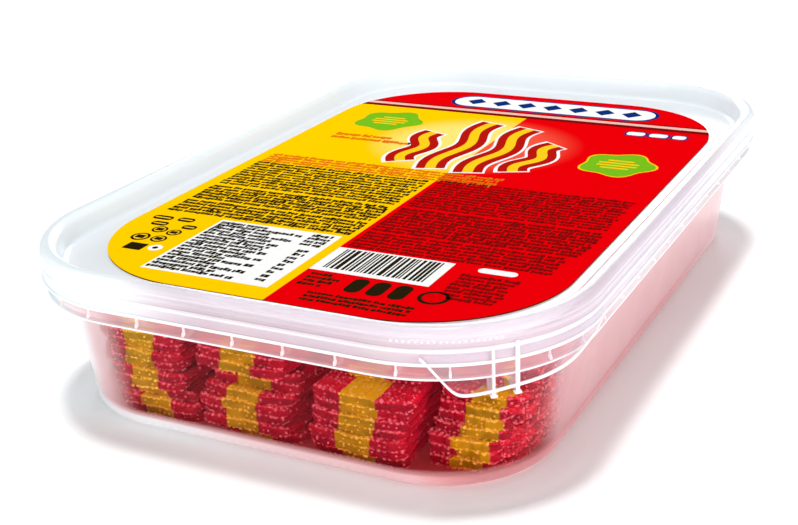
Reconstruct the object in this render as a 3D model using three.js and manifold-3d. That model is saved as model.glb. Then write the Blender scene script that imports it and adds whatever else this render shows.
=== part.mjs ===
// A shut tub of sour belts: a clear tub, its press-on lid with a printed label, and four stacks of belts.
// Millimetres, +Z up. The origin is the middle of the flat underside, X runs across the tub and Y along it.
// An offset is a distance out from the lid's plan outline, so a negative one lies inside it.
import * as THREE from "three";
import { mergeVertices } from "three/addons/utils/BufferGeometryUtils.js";
import Module from "manifold-3d";

const wasm = await Module();
wasm.setup();

// Plan outline of the lid
const HALF_WIDTH = 55;
const HALF_LENGTH = 83.85;
const CORNER_RADIUS = 28.7;
const CORNER_STEPS = 8;
const QUARTER = Math.PI / 2;
const { clamp, degToRad, lerp, mapLinear, radToDeg } = THREE.MathUtils;

// Tub
const WALL = 0.8;
const FLOOR = 1.0;
const FOOT_RADIUS = 2.4;
const FOOT_OFFSET = -7.1;
const WALL_TOP_OFFSET = -4.7;
const LEDGE_Z = 26.2;
const COLLAR_OFFSET = -1.1;
const COLLAR_BOTTOM_Z = 24.3;
const COLLAR_LIP_OFFSET = -0.35;
const COLLAR_LIP_HEIGHT = 0.6;
const TUB_TOP_Z = 32.0;
const RIM_ROUND = 0.3;
const FOOT_STEPS = 3;
const FOOT_SLOPE = 0.45;
const GUSSET_PITCH = 9.9;
const GUSSETS_ACROSS = 5;
const GUSSETS_ALONG = 11;
const GUSSETS_IN_CORNER = 5;
const GUSSET_THICKNESS = 0.7;
const GUSSET_INNER_HEIGHT = 0.7;
const GUSSET_FOOT_DEPTH = 0.9;
const JOIN_OVERLAP = 0.3;

// Lid
const PANEL_TOP_Z = 28.5;
const PANEL_THICKNESS = 0.8;
const RIM_TOP_Z = 33.3;
const RIM_ROOF = 0.9;
const RIM_WALL = 1.0;
const RIM_SHOULDER_DROP = 1.1;
const RIM_CREST_OUTER = -0.4;
const RIM_CREST_INNER = -1.9;
const SKIRT_BOTTOM_Z = 26.9;
const SKIRT_OFFSET = 0.1;
const SKIRT_LIP_OFFSET = 0.35;
const SKIRT_LIP_HEIGHT = 0.5;
const SHOULDER_Z = 29.1;
const SHOULDER_OFFSET = 0.5;
const SHOULDER_HEIGHT = 0.4;
const RECESS_TOP_OFFSET = -3.2;
const RECESS_BOTTOM_OFFSET = -3.9;
const RECESS_FOOT_OFFSET = -4.7;
const RECESS_FOOT_HEIGHT = 0.4;

// Pull tab on the lid's near right corner, with angles from -Y towards +X in degrees
const TAB_START = 17.6;
const TAB_END = 84;
const TAB_STEPS = 24;
const TAB_INNER_OFFSET = -0.05;
const TAB_THICKNESS = 0.7;
const TAB_TOP_Z = 28.9;
const TAB_LEFT_END_HEIGHT = 0.5;
const TAB_BOTTOM_Z = 21.8;
const TAB_LEFT_EDGE_END = 28.5;
const TAB_RISE_START = 50;
const TAB_RIGHT_END_Z = 24.6;
const TAB_BEAD = 0.45;
const TAB_BEAD_HEIGHT = 0.6;
const STRUT_ANGLES = [40.3, 48.3];
const STRUT_WIDTH = 0.8;
const STRUT_OFFSET = 1.15;
const STRUT_FOOT_OFFSET = 1.35;
const STRUT_TOP_Z = 29.6;
const STRUT_BOTTOM_Z = 21.0;
const STRUT_FOOT_HEIGHT = 0.6;
const STRUT_FOOT_WIDTH = 1.7;

// Label
const LABEL_HALF_WIDTH = 47.3;
const LABEL_HALF_LENGTH = 72.6;
const LABEL_RADIUS = 27.5;
const LABEL_Y = -0.6;
const LABEL_BOTTOM_Z = 28.8;
const LABEL_THICKNESS = 0.25;

// Belts
const BELT_WIDTH = 20.2;
const BELT_THICKNESS = 1.6;
const BELT_PITCH = 1.95;
const FIRST_BELT_Z = 1.35;
const BELT_GAP = 0.4;
const BELT_GROOVE = 0.22;
const BELT_EDGE = 0.75;
const LAYERS = 12;
const BELT_BAND = BELT_WIDTH / 6;
const FAR_END_Y = 74.2;
const FAR_END_SPREAD = 1.4;
const SIDE_DRIFT = 0.5;
const WAVE_HEIGHT = 0.5;
const WAVE_LENGTH = 139.6;
// Places along a belt, as shares of its length
const BELT_STATIONS = [0, 0.035, 0.09, 0.3, 0.55, 0.8, 0.93, 1];
// Turns per layer, which scatter the belts' far ends
const DRIFT_TURN = 2.3;
const FAR_END_TURN = 4.1;
// Where each belt's near end lies, across the tub and along it from the tub's middle, bottom layer first
const COLUMNS = [
  {
    name: "left",
    middle: [-25.4, -25.2, -26.4, -28.9, -28.3, -28.8, -28.4, -28.2, -27.8, -27.9, -28.6, -28.2],
    nearEnd: [73.4, 73.9, 72.6, 73.8, 74.2, 73.0, 74.1, 73.2, 74.3, 72.8, 73.9, 73.1],
    wavePhase: 0.4,
  },
  {
    name: "inner_left",
    middle: [-3.4, -4.9, -5.4, -5.8, -4.9, -3.9, -3.5, -5.6, -5.3, -4.6, -4.2, -5.0],
    nearEnd: [73.2, 74.9, 74.4, 75.0, 74.2, 72.3, 72.0, 75.2, 74.8, 75.1, 73.6, 74.4],
    wavePhase: 1.9,
  },
  {
    name: "inner_right",
    middle: [17.2, 17.3, 17.6, 18.0, 18.6, 18.7, 18.9, 17.6, 18.6, 19.6, 19.3, 19.0],
    nearEnd: [73.6, 74.6, 75.2, 74.4, 75.3, 74.8, 75.1, 68.4, 68.0, 68.8, 68.2, 68.6],
    wavePhase: 3.3,
  },
  {
    name: "right",
    middle: [38.0, 38.1, 38.4, 38.8, 39.4, 39.5, 39.9, 40.2, 40.6, 40.7, 40.5, 40.2],
    nearEnd: [69.4, 69.0, 69.6, 68.2, 67.8, 68.0, 66.9, 63.4, 62.6, 63.0, 62.2, 62.8],
    wavePhase: 5.1,
  },
];

const clearPlastic = new THREE.MeshStandardMaterial({
  color: 0xf3eef2,
  roughness: 0.3,
  metalness: 0,
  transparent: true,
  opacity: 0.35,
});
const labelPrint = new THREE.MeshStandardMaterial({ color: 0xf0a000, roughness: 0.45, metalness: 0 });
const sourRed = new THREE.MeshStandardMaterial({ color: 0xc4002c, roughness: 0.6, metalness: 0 });

// Points of a rounded rectangle at one height, anticlockwise seen from above.
function roundedRectangle(halfX, halfY, radius, z) {
  const points = [];
  for (let corner = 0; corner < 4; corner++) {
    const centreX = (corner === 0 || corner === 3 ? 1 : -1) * (halfX - radius);
    const centreY = (corner < 2 ? 1 : -1) * (halfY - radius);
    for (let step = 0; step <= CORNER_STEPS; step++) {
      const angle = (corner + step / CORNER_STEPS) * QUARTER;
      const x = centreX + radius * Math.cos(angle);
      const y = centreY + radius * Math.sin(angle);
      points.push(new THREE.Vector3(x, y, z));
    }
  }
  return points;
}

const planRing = ([offset, z]) =>
  roundedRectangle(HALF_WIDTH + offset, HALF_LENGTH + offset, CORNER_RADIUS + offset, z);

// A closed body through a row of rings with the same number of points, its two ends closed by fans.
function loft(rings) {
  const count = rings[0].length;
  const points = rings.flat();
  const index = [];
  for (let ring = 0; ring + 1 < rings.length; ring++)
    for (let i = 0; i < count; i++) {
      const here = ring * count + i;
      const next = ring * count + ((i + 1) % count);
      index.push(here, next, next + count, here, next + count, here + count);
    }
  for (const ring of [0, rings.length - 1]) {
    const centre = new THREE.Vector3();
    rings[ring].forEach((point) => centre.addScaledVector(point, 1 / count));
    points.push(centre);
    for (let i = 0; i < count; i++) {
      const here = ring * count + i;
      const next = ring * count + ((i + 1) % count);
      index.push(points.length - 1, ...(ring === 0 ? [next, here] : [here, next]));
    }
  }
  return new THREE.BufferGeometry().setFromPoints(points).setIndex(index);
}

function toSolid(geometry) {
  const bare = geometry.clone().deleteAttribute("normal").deleteAttribute("uv");
  const merged = mergeVertices(bare, 1e-4);
  return new wasm.Manifold(
    new wasm.Mesh({
      numProp: 3,
      vertProperties: Float32Array.from(merged.attributes.position.array),
      triVerts: Uint32Array.from(merged.index.array),
    }),
  );
}

function toGeometry(solid) {
  const mesh = solid.getMesh();
  const geometry = new THREE.BufferGeometry();
  geometry.setAttribute("position", new THREE.BufferAttribute(mesh.vertProperties, 3));
  geometry.setIndex(new THREE.BufferAttribute(mesh.triVerts, 1));
  geometry.computeVertexNormals();
  return geometry;
}

function joined(geometries) {
  return toGeometry(geometries.map(toSolid).reduce((whole, piece) => whole.add(piece)));
}

function arc(centreOffset, centreZ, radius, from, to, steps) {
  const points = [];
  for (let step = 0; step <= steps; step++) {
    const angle = degToRad(from + ((to - from) * step) / steps);
    points.push([centreOffset + radius * Math.cos(angle), centreZ + radius * Math.sin(angle)]);
  }
  return points;
}

// The tub's section, from the middle of the underside out, over the rim and down to the floor.
function tubShell() {
  const upstandInner = COLLAR_OFFSET - WALL;
  const footCentre = FOOT_OFFSET - FOOT_RADIUS;
  const innerRadius = FOOT_RADIUS - WALL;
  const outerFoot = arc(footCentre, FOOT_RADIUS, FOOT_RADIUS, -90, 0, FOOT_STEPS);
  const innerFoot = arc(footCentre, FLOOR + innerRadius, innerRadius, 0, -90, FOOT_STEPS);
  const profile = [
    ...outerFoot,
    [WALL_TOP_OFFSET, LEDGE_Z],
    [upstandInner, LEDGE_Z],
    [upstandInner, COLLAR_BOTTOM_Z],
    [COLLAR_LIP_OFFSET, COLLAR_BOTTOM_Z],
    [COLLAR_LIP_OFFSET, COLLAR_BOTTOM_Z + COLLAR_LIP_HEIGHT],
    [COLLAR_OFFSET, COLLAR_BOTTOM_Z + COLLAR_LIP_HEIGHT + RIM_ROUND],
    [COLLAR_OFFSET, TUB_TOP_Z - RIM_ROUND],
    [COLLAR_OFFSET - RIM_ROUND, TUB_TOP_Z],
    [upstandInner + RIM_ROUND, TUB_TOP_Z],
    [upstandInner, TUB_TOP_Z - RIM_ROUND],
    [upstandInner, LEDGE_Z + WALL],
    [WALL_TOP_OFFSET - WALL, LEDGE_Z + WALL],
    ...innerFoot,
  ];
  return loft(profile.map(planRing));
}

// A rib between the wall and the collar, drawn for a place on the plan outline and the way out from there.
function gusset(x, y, outwardAngle) {
  const inside = WALL_TOP_OFFSET - JOIN_OVERLAP;
  const outside = COLLAR_OFFSET - WALL / 2;
  const top = LEDGE_Z + JOIN_OVERLAP;
  const foot = COLLAR_BOTTOM_Z + 0.2;
  const side = new THREE.Shape([
    new THREE.Vector2(outside, top),
    new THREE.Vector2(inside, top),
    new THREE.Vector2(inside, LEDGE_Z - GUSSET_INNER_HEIGHT),
    new THREE.Vector2(outside - GUSSET_FOOT_DEPTH, foot),
    new THREE.Vector2(outside, foot),
  ]);
  const rib = new THREE.ExtrudeGeometry(side, { depth: GUSSET_THICKNESS, bevelEnabled: false });
  rib.translate(0, 0, -GUSSET_THICKNESS / 2);
  rib.rotateX(QUARTER);
  rib.rotateZ(outwardAngle);
  rib.translate(x, y, 0);
  return rib;
}

function gussets() {
  const ribs = [];
  for (const side of [1, -1]) {
    for (let i = 0; i < GUSSETS_ACROSS; i++) {
      const x = (i - (GUSSETS_ACROSS - 1) / 2) * GUSSET_PITCH;
      ribs.push(gusset(x, side * HALF_LENGTH, side * QUARTER));
    }
    for (let i = 0; i < GUSSETS_ALONG; i++) {
      const y = (i - (GUSSETS_ALONG - 1) / 2) * GUSSET_PITCH;
      ribs.push(gusset(side * HALF_WIDTH, y, side > 0 ? 0 : Math.PI));
    }
  }
  for (let corner = 0; corner < 4; corner++)
    for (let i = 0; i < GUSSETS_IN_CORNER; i++) {
      const angle = (corner + (i + 0.5) / GUSSETS_IN_CORNER) * QUARTER;
      const centreX = Math.sign(Math.cos(angle)) * (HALF_WIDTH - CORNER_RADIUS);
      const centreY = Math.sign(Math.sin(angle)) * (HALF_LENGTH - CORNER_RADIUS);
      const x = centreX + CORNER_RADIUS * Math.cos(angle);
      const y = centreY + CORNER_RADIUS * Math.sin(angle);
      ribs.push(gusset(x, y, angle));
    }
  return ribs;
}

// The lid's section, from the middle of the panel's underside out, over the rim and down to the panel.
function lidShell() {
  const skirtInner = SKIRT_OFFSET - WALL;
  const rimInner = SHOULDER_OFFSET - RIM_WALL;
  const roof = RIM_TOP_Z - RIM_ROOF;
  const underside = [
    [RECESS_FOOT_OFFSET + WALL, PANEL_TOP_Z - PANEL_THICKNESS],
    [RECESS_FOOT_OFFSET + 2 * WALL, PANEL_TOP_Z - PANEL_THICKNESS / 2],
    [RIM_CREST_INNER - 2 * RIM_ROUND, roof - 2 * RIM_ROUND],
    [RIM_CREST_INNER - RIM_ROUND, roof],
    [rimInner - RIM_ROUND, roof],
    [rimInner, roof - RIM_ROUND],
    [rimInner, SHOULDER_Z + SHOULDER_HEIGHT + 0.1],
    [skirtInner, SHOULDER_Z + 0.1],
    [skirtInner, SKIRT_BOTTOM_Z],
  ];
  const outside = [
    [SKIRT_LIP_OFFSET, SKIRT_BOTTOM_Z],
    [SKIRT_LIP_OFFSET, SKIRT_BOTTOM_Z + SKIRT_LIP_HEIGHT],
    [SKIRT_OFFSET, SKIRT_BOTTOM_Z + 1.5 * SKIRT_LIP_HEIGHT],
    [SKIRT_OFFSET, SHOULDER_Z],
    [SHOULDER_OFFSET, SHOULDER_Z + SHOULDER_HEIGHT],
    [SHOULDER_OFFSET, RIM_TOP_Z - RIM_SHOULDER_DROP],
    [SHOULDER_OFFSET - RIM_ROUND, RIM_TOP_Z - RIM_ROUND - 0.1],
  ];
  const crestAndRecess = [
    [RIM_CREST_OUTER, RIM_TOP_Z],
    [RIM_CREST_INNER, RIM_TOP_Z],
    [lerp(RIM_CREST_INNER, RECESS_TOP_OFFSET, 0.6), RIM_TOP_Z - RIM_ROUND],
    [RECESS_TOP_OFFSET, RIM_TOP_Z - RIM_ROOF],
    [RECESS_BOTTOM_OFFSET, PANEL_TOP_Z + RECESS_FOOT_HEIGHT],
    [RECESS_FOOT_OFFSET, PANEL_TOP_Z],
  ];
  const profile = [...underside, ...outside, ...crestAndRecess];
  return loft(profile.map(planRing));
}

function cornerPoint(offset, z, degrees) {
  const angle = degToRad(degrees);
  const radius = CORNER_RADIUS + offset;
  return new THREE.Vector3(
    HALF_WIDTH - CORNER_RADIUS + radius * Math.sin(angle),
    -(HALF_LENGTH - CORNER_RADIUS) - radius * Math.cos(angle),
    z,
  );
}

// Lower edge of the pull tab: down a slanting side, along the bottom, and slowly up to the right.
function tabBottom(degrees) {
  const leftEndZ = TAB_TOP_Z - TAB_LEFT_END_HEIGHT;
  if (degrees < TAB_LEFT_EDGE_END)
    return mapLinear(degrees, TAB_START, TAB_LEFT_EDGE_END, leftEndZ, TAB_BOTTOM_Z);
  if (degrees < TAB_RISE_START) return TAB_BOTTOM_Z;
  const rise = (degrees - TAB_RISE_START) / (TAB_END - TAB_RISE_START);
  return TAB_BOTTOM_Z + (TAB_RIGHT_END_Z - TAB_BOTTOM_Z) * rise * rise;
}

// A band round the corner with a four-sided section, whose heights may change with the angle.
function cornerBand(from, to, steps, inner, outer, bottomAt, topAt) {
  const rings = [];
  for (let step = 0; step <= steps; step++) {
    const degrees = from + ((to - from) * step) / steps;
    const [low, high] = [bottomAt(degrees), topAt(degrees)];
    rings.push([
      cornerPoint(outer, high, degrees),
      cornerPoint(outer, low, degrees),
      cornerPoint(inner, low, degrees),
      cornerPoint(inner, high, degrees),
    ]);
  }
  return loft(rings);
}

// An upright block on the tab's face, as wide as given and centred on an angle.
function strutBlock(degrees, width, inner, outer, top) {
  const half = radToDeg(width / (CORNER_RADIUS + STRUT_OFFSET) / 2);
  const bottomAt = () => STRUT_BOTTOM_Z;
  const topAt = () => top;
  return cornerBand(degrees - half, degrees + half, 1, inner, outer, bottomAt, topAt);
}

function pullTab() {
  const inner = TAB_INNER_OFFSET;
  const outer = inner + TAB_THICKNESS;
  const beadTop = (degrees) => tabBottom(degrees) + TAB_BEAD_HEIGHT;
  const footTop = STRUT_BOTTOM_Z + STRUT_FOOT_HEIGHT;
  const plate = cornerBand(TAB_START, TAB_END, TAB_STEPS, inner, outer, tabBottom, () => TAB_TOP_Z);
  const bead = cornerBand(TAB_START, TAB_END, TAB_STEPS, outer - 0.2, outer + TAB_BEAD, tabBottom, beadTop);
  const struts = STRUT_ANGLES.flatMap((degrees) => [
    strutBlock(degrees, STRUT_WIDTH, inner + 0.2, STRUT_OFFSET, STRUT_TOP_Z),
    strutBlock(degrees, STRUT_FOOT_WIDTH, inner + 0.1, STRUT_FOOT_OFFSET, footTop),
  ]);
  return [plate, bead, ...struts];
}

// Half the clear width inside the tub at a height, at a place along it.
function roomAcross(y, z) {
  const share = clamp((z - FOOT_RADIUS) / (LEDGE_Z - FOOT_RADIUS), 0, 1);
  const footLoss = Math.max(0, FLOOR + FOOT_RADIUS - WALL - z) * FOOT_SLOPE;
  const offset = lerp(FOOT_OFFSET, WALL_TOP_OFFSET, share) - WALL - BELT_GAP - footLoss;
  const radius = CORNER_RADIUS + offset;
  const past = Math.max(0, Math.abs(y) - (HALF_LENGTH - CORNER_RADIUS));
  return HALF_WIDTH - CORNER_RADIUS + Math.sqrt(Math.max(0, radius * radius - past * past));
}

// One belt: a flat strip with rounded edges and a shallow groove each side of its middle band.
// It lies in its column, follows the column's slow wave, and gives way where it meets the tub's wall.
function belt(column, layer) {
  const nearX = column.middle[layer];
  const farX = nearX + SIDE_DRIFT * Math.sin(layer * DRIFT_TURN);
  const nearY = -column.nearEnd[layer];
  const farY = FAR_END_Y - FAR_END_SPREAD * (1 - Math.sin(layer * FAR_END_TURN + column.wavePhase));
  const half = BELT_THICKNESS / 2;
  const edge = BELT_WIDTH / 2;
  const section = [
    [-edge, 0],
    [-edge + BELT_EDGE, half],
    [-BELT_BAND, half - BELT_GROOVE],
    [BELT_BAND, half - BELT_GROOVE],
    [edge - BELT_EDGE, half],
    [edge, 0],
    [edge - BELT_EDGE, -half],
    [BELT_BAND, -half + BELT_GROOVE],
    [-BELT_BAND, -half + BELT_GROOVE],
    [-edge + BELT_EDGE, -half],
  ];
  const rings = BELT_STATIONS.map((t) => {
    const y = lerp(nearY, farY, t);
    const turn = (y / WAVE_LENGTH) * 2 * Math.PI + column.wavePhase;
    const wave = Math.sin(turn) * WAVE_HEIGHT * (layer / LAYERS);
    const z = FIRST_BELT_Z + half + layer * BELT_PITCH + wave;
    const room = roomAcross(y, z - half);
    const centre = lerp(nearX, farX, t);
    const left = Math.max(centre - edge, -room);
    const right = Math.min(centre + edge, room);
    const across = (x) => lerp(left, right, (x + edge) / BELT_WIDTH);
    return section.map(([x, rise]) => new THREE.Vector3(across(x), y, z + rise));
  });
  return loft(rings);
}

function label() {
  const ring = roundedRectangle(LABEL_HALF_WIDTH, LABEL_HALF_LENGTH, LABEL_RADIUS, 0);
  const outline = new THREE.Shape(ring.map((point) => new THREE.Vector2(point.x, point.y)));
  return new THREE.ExtrudeGeometry(outline, { depth: LABEL_THICKNESS, bevelEnabled: false });
}

function named(name, geometry, material) {
  const mesh = new THREE.Mesh(geometry, material);
  mesh.name = name;
  return mesh;
}

const pack = new THREE.Group();
pack.add(named("tub", joined([tubShell(), ...gussets()]), clearPlastic));
pack.add(named("lid", joined([lidShell(), ...pullTab()]), clearPlastic));

const labelMesh = named("label", label(), labelPrint);
labelMesh.position.set(0, LABEL_Y, LABEL_BOTTOM_Z);
pack.add(labelMesh);

for (const column of COLUMNS) {
  const stack = new THREE.Group();
  for (let layer = 0; layer < LAYERS; layer++) {
    const number = String(layer + 1).padStart(2, "0");
    stack.add(named(`belt_${column.name}_${number}`, belt(column, layer), sourRed));
  }
  pack.add(stack);
}

export default pack;
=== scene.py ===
import math

import bpy
import numpy as np
from mathutils import Matrix, Vector


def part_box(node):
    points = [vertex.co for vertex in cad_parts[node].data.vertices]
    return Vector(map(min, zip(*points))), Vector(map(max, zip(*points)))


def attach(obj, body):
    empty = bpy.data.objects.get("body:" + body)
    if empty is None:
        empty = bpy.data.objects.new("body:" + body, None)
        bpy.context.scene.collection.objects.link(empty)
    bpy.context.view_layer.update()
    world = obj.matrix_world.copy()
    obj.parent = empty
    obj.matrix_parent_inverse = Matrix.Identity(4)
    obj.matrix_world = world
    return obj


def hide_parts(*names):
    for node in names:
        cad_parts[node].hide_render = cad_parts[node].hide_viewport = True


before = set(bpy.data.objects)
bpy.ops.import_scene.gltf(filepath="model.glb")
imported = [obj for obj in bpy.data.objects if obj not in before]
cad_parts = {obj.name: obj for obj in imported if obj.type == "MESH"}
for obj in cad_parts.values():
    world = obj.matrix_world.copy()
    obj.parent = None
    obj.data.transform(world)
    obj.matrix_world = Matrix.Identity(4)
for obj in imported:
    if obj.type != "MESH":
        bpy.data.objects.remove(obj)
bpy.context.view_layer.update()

MM = 0.001
SEED = 7

# Camera
PHOTO_WIDTH = 798
FOCAL_PIXELS = 1329.22
CAMERA_AZIMUTH = 27.29
CAMERA_ELEVATION = 21.34
CAMERA_ROLL = -2.24
CAMERA_PLACE = (118.84, -250.93, 117.92)
SENSOR_WIDTH = 36

# The solids' boxes and the lid's plan outline
LID_LOW, LID_HIGH = (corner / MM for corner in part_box("lid"))
LABEL_LOW, LABEL_HIGH = (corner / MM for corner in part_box("label"))
RIM_OFFSET = 0.5
HALF_WIDTH = -LID_LOW.x - RIM_OFFSET
HALF_LENGTH = LID_HIGH.y - RIM_OFFSET
CORNER_RADIUS = 28.7
CORNER_STEPS = 28
SIDE_STEPS = 14
CORNER_SIGNS = np.array([(1, 1), (-1, 1), (-1, -1), (1, -1)])
PLAN_CORNERS = CORNER_SIGNS * (HALF_WIDTH - CORNER_RADIUS, HALF_LENGTH - CORNER_RADIUS)
RIM_TOP_Z = LID_HIGH.z
PANEL_TOP_Z = LABEL_LOW.z - 0.02
TUB_TOP_Z = (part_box("tub")[1] / MM).z

# Heights and offsets of the tub
WALL = 0.8
FOOT_OFFSET = -7.1
WALL_TOP_OFFSET = -4.7
FOOT_RADIUS = 2.4
FLOOR_Z = 1.0
LEDGE_Z = 26.2
COLLAR_Z = 24.0
COLLAR_LIP_OFFSET = -0.35
UPSTAND_OFFSET = -1.1
SKIRT_BOTTOM_Z = 26.75
GUSSET_PITCH = 9.9

# The belts
BELT_HALF_THICKNESS = 0.93
RIB_HEIGHT = 0.11
RIB_PITCH = 1.13
YELLOW_SHARE = 0.36
RIGHT_STRIPE = (0.36, 0.49)
RIGHT_UPPER_STRIPE = (0.4, 0.12)
WIDE_STRIPE_LAYERS = 7
SIDE_ROUND = 0.6
LAYERS = 12
COLUMNS = ("left", "inner_left", "inner_right", "right")


# Shader maths
def maths(operation, swapped=False):
    """The method behind one of Python's operators, or behind its reflected form."""
    def operate(self, other):
        first, second = (other, self) if swapped else (self, other)
        return self.paint.math(operation, first, second)
    return operate


class Wire:
    """A socket in a shader, on which Python's operators build Math nodes."""

    def __init__(self, paint, socket):
        self.paint = paint
        self.socket = socket

    __add__, __radd__ = maths("ADD"), maths("ADD", swapped=True)
    __sub__, __rsub__ = maths("SUBTRACT"), maths("SUBTRACT", swapped=True)
    __mul__, __rmul__ = maths("MULTIPLY"), maths("MULTIPLY", swapped=True)
    __truediv__, __rtruediv__ = maths("DIVIDE"), maths("DIVIDE", swapped=True)
    __pow__ = maths("POWER")

    def __abs__(self):
        return self.paint.math("ABSOLUTE", self)


class Paint:
    """One material while its nodes are being made."""

    def __init__(self, name):
        self.material = bpy.data.materials.new(name)
        self.material.use_nodes = True
        self.tree = self.material.node_tree
        self.tree.nodes.clear()
        self.output = self.tree.nodes.new("ShaderNodeOutputMaterial")

    def feed(self, socket, value):
        if isinstance(value, Wire):
            self.tree.links.new(value.socket, socket)
        elif isinstance(value, tuple) and len(value) == 3 and socket.type == "RGBA":
            socket.default_value = (*value, 1)
        else:
            socket.default_value = value

    def node(self, kind, settings=None, inputs=None, out=0):
        """Any node: its settings first and then its sockets."""
        made = self.tree.nodes.new(kind)
        for name, value in (settings or {}).items():
            setattr(made, name, value)
        for key, value in (inputs or {}).items():
            self.feed(made.inputs[key], value)
        return Wire(self, made.outputs[out])

    def math(self, operation, *values):
        return self.node("ShaderNodeMath", {"operation": operation}, dict(enumerate(values)))

    def step(self, value, start, end):
        """Rises smoothly from 0 to 1 as value goes from start to end."""
        inputs = {"Value": value, "From Min": start, "From Max": end}
        return self.node("ShaderNodeMapRange", {"interpolation_type": "SMOOTHSTEP"}, inputs)

    def mix(self, factor, a, b):
        """A colour between a, at factor 0, and b, at factor 1."""
        settings = {"data_type": "RGBA", "clamp_factor": True}
        return self.node("ShaderNodeMix", settings, {0: factor, 6: a, 7: b}, out=2)

    def blend(self, factor, a, b):
        """A shader between a, at factor 0, and b, at factor 1."""
        return self.node("ShaderNodeMixShader", None, {0: factor, 1: a, 2: b})

    def see_through(self, *colour):
        return self.node("ShaderNodeBsdfTransparent", None, {"Color": colour})

    def place(self):
        """The point on the piece, in millimetres, as a vector."""
        point = self.node("ShaderNodeTexCoord", out=3)
        return self.node("ShaderNodeVectorMath", {"operation": "SCALE"}, {0: point, "Scale": 1 / MM})

    def parts(self, vector):
        made = self.node("ShaderNodeSeparateXYZ", None, {0: vector}).socket.node
        return [Wire(self, output) for output in made.outputs]

    def attribute(self, name):
        return self.node("ShaderNodeAttribute", {"attribute_name": name}, out=2)

    def noise(self, size, detail=2.0, roughness=0.5, stretch=(1, 1, 1)):
        """Noise from 0 to 1 whose lumps are about size millimetres."""
        scaled = {0: self.place(), 1: tuple(1 / (size * s) for s in stretch)}
        grid = self.node("ShaderNodeVectorMath", {"operation": "MULTIPLY"}, scaled)
        return self.node("ShaderNodeTexNoise", None,
                         {"Vector": grid, "Scale": 1.0, "Detail": detail, "Roughness": roughness})

    def bump(self, height, strength, distance):
        """A bump from a height in units of distance millimetres."""
        return self.node("ShaderNodeBump", None,
                         {"Height": height, "Strength": strength, "Distance": distance * MM})

    def surface(self, **sockets):
        """A Principled shader; an underscore in a socket's name is a space."""
        inputs = {name.replace("_", " "): value for name, value in sockets.items()}
        return self.node("ShaderNodeBsdfPrincipled", None, inputs)

    def done(self, shader):
        self.tree.links.new(shader.socket, self.output.inputs["Surface"])
        return self.material


def srgb(*screen):
    """A colour as it looks on a screen, from 0 to 255, as the light that a shader works in."""
    return tuple(((v / 255 + 0.055) / 1.055) ** 2.4 if v > 10 else v / 255 / 12.92 for v in screen)


# Materials
# Candy red and yellow as lit, each with a darker copy that is painted shade
RED_CANDY = srgb(200, 0, 38)
SHADED_RED = srgb(128, 0, 26)
YELLOW_CANDY = srgb(219, 167, 0)
SHADED_YELLOW = srgb(139, 106, 0)
SUGAR_ON_RED = srgb(240, 126, 140)
SUGAR_ON_YELLOW = srgb(250, 212, 92)
# Emission strengths: the belts and the thick plastic get a painted glow though they are no lamps
CANDY_GLOW = 0.4
PLASTIC_GLOW = 0.115
FLOOR_GLOW = 0.08


def stripes(paint, on_red, on_yellow, wobble):
    """Red at the sides of a belt and yellow in its middle."""
    across = abs(paint.attribute("across") + wobble)
    is_red = paint.step(across, YELLOW_SHARE - 0.012, YELLOW_SHARE + 0.012)
    return paint.mix(is_red, on_yellow, on_red)


def candy_material():
    """Chewy belt: glossy where it was cut, dull and dusted with fine sugar elsewhere, with painted light and
    shade and a painted glow.
    """
    paint = Paint("sour_candy")
    cut = paint.attribute("cut")
    wobble = (paint.noise(1.4, 2) - 0.5) * 0.06
    # Painted light and shade: lighter and darker in random bands, darker on cut faces and on the sides
    # between columns, brightest on the bare tops that stick out
    patches = paint.step(paint.noise(2.6, 3, stretch=(1.6, 1.6, 0.7)), 0.35, 0.66)
    bare = paint.attribute("bare")
    lit = paint.math("MAXIMUM", patches * (1 - cut * 0.7), bare)
    red = paint.mix(lit, SHADED_RED, RED_CANDY)
    yellow = paint.mix(lit, SHADED_YELLOW, YELLOW_CANDY)
    candy = stripes(paint, red, yellow, wobble)
    sugar = stripes(paint, SUGAR_ON_RED, SUGAR_ON_YELLOW, wobble)
    fine = paint.noise(0.34, 2, 0.7)
    dust = paint.step(fine, 0.5, 0.74) * (0.45 - cut * 0.37)
    base = paint.mix(dust, candy, sugar)
    height = fine * 0.5 + paint.noise(1.1, 2) * 0.7
    normal = paint.bump(height, 0.5, 0.12)
    # Painted glow: every belt glows faintly in its own colour, most on the bare tops and less on the sides
    # between columns
    painted_glow = paint.mix(0.25 + bare * 0.75, (0.0, 0.0, 0.0), base)
    shader = paint.surface(Base_Color=base, Roughness=0.62 - cut * 0.2, Specular_IOR_Level=0.06,
                           Normal=normal, Emission_Color=painted_glow, Emission_Strength=CANDY_GLOW)
    return paint.done(shader)


def sugar_material():
    """Coarse sour sugar, tinted by the belt under it."""
    paint = Paint("sour_sugar")
    tint = paint.attribute("tint")
    clean = stripes(paint, SUGAR_ON_RED, SUGAR_ON_YELLOW, 0.0)
    stained = stripes(paint, srgb(206, 26, 58), srgb(220, 164, 18), 0.0)
    base = paint.mix(tint, stained, clean)
    shader = paint.surface(Base_Color=base, Roughness=0.32 + tint * 0.2, Specular_IOR_Level=0.25)
    return paint.done(shader)


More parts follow.
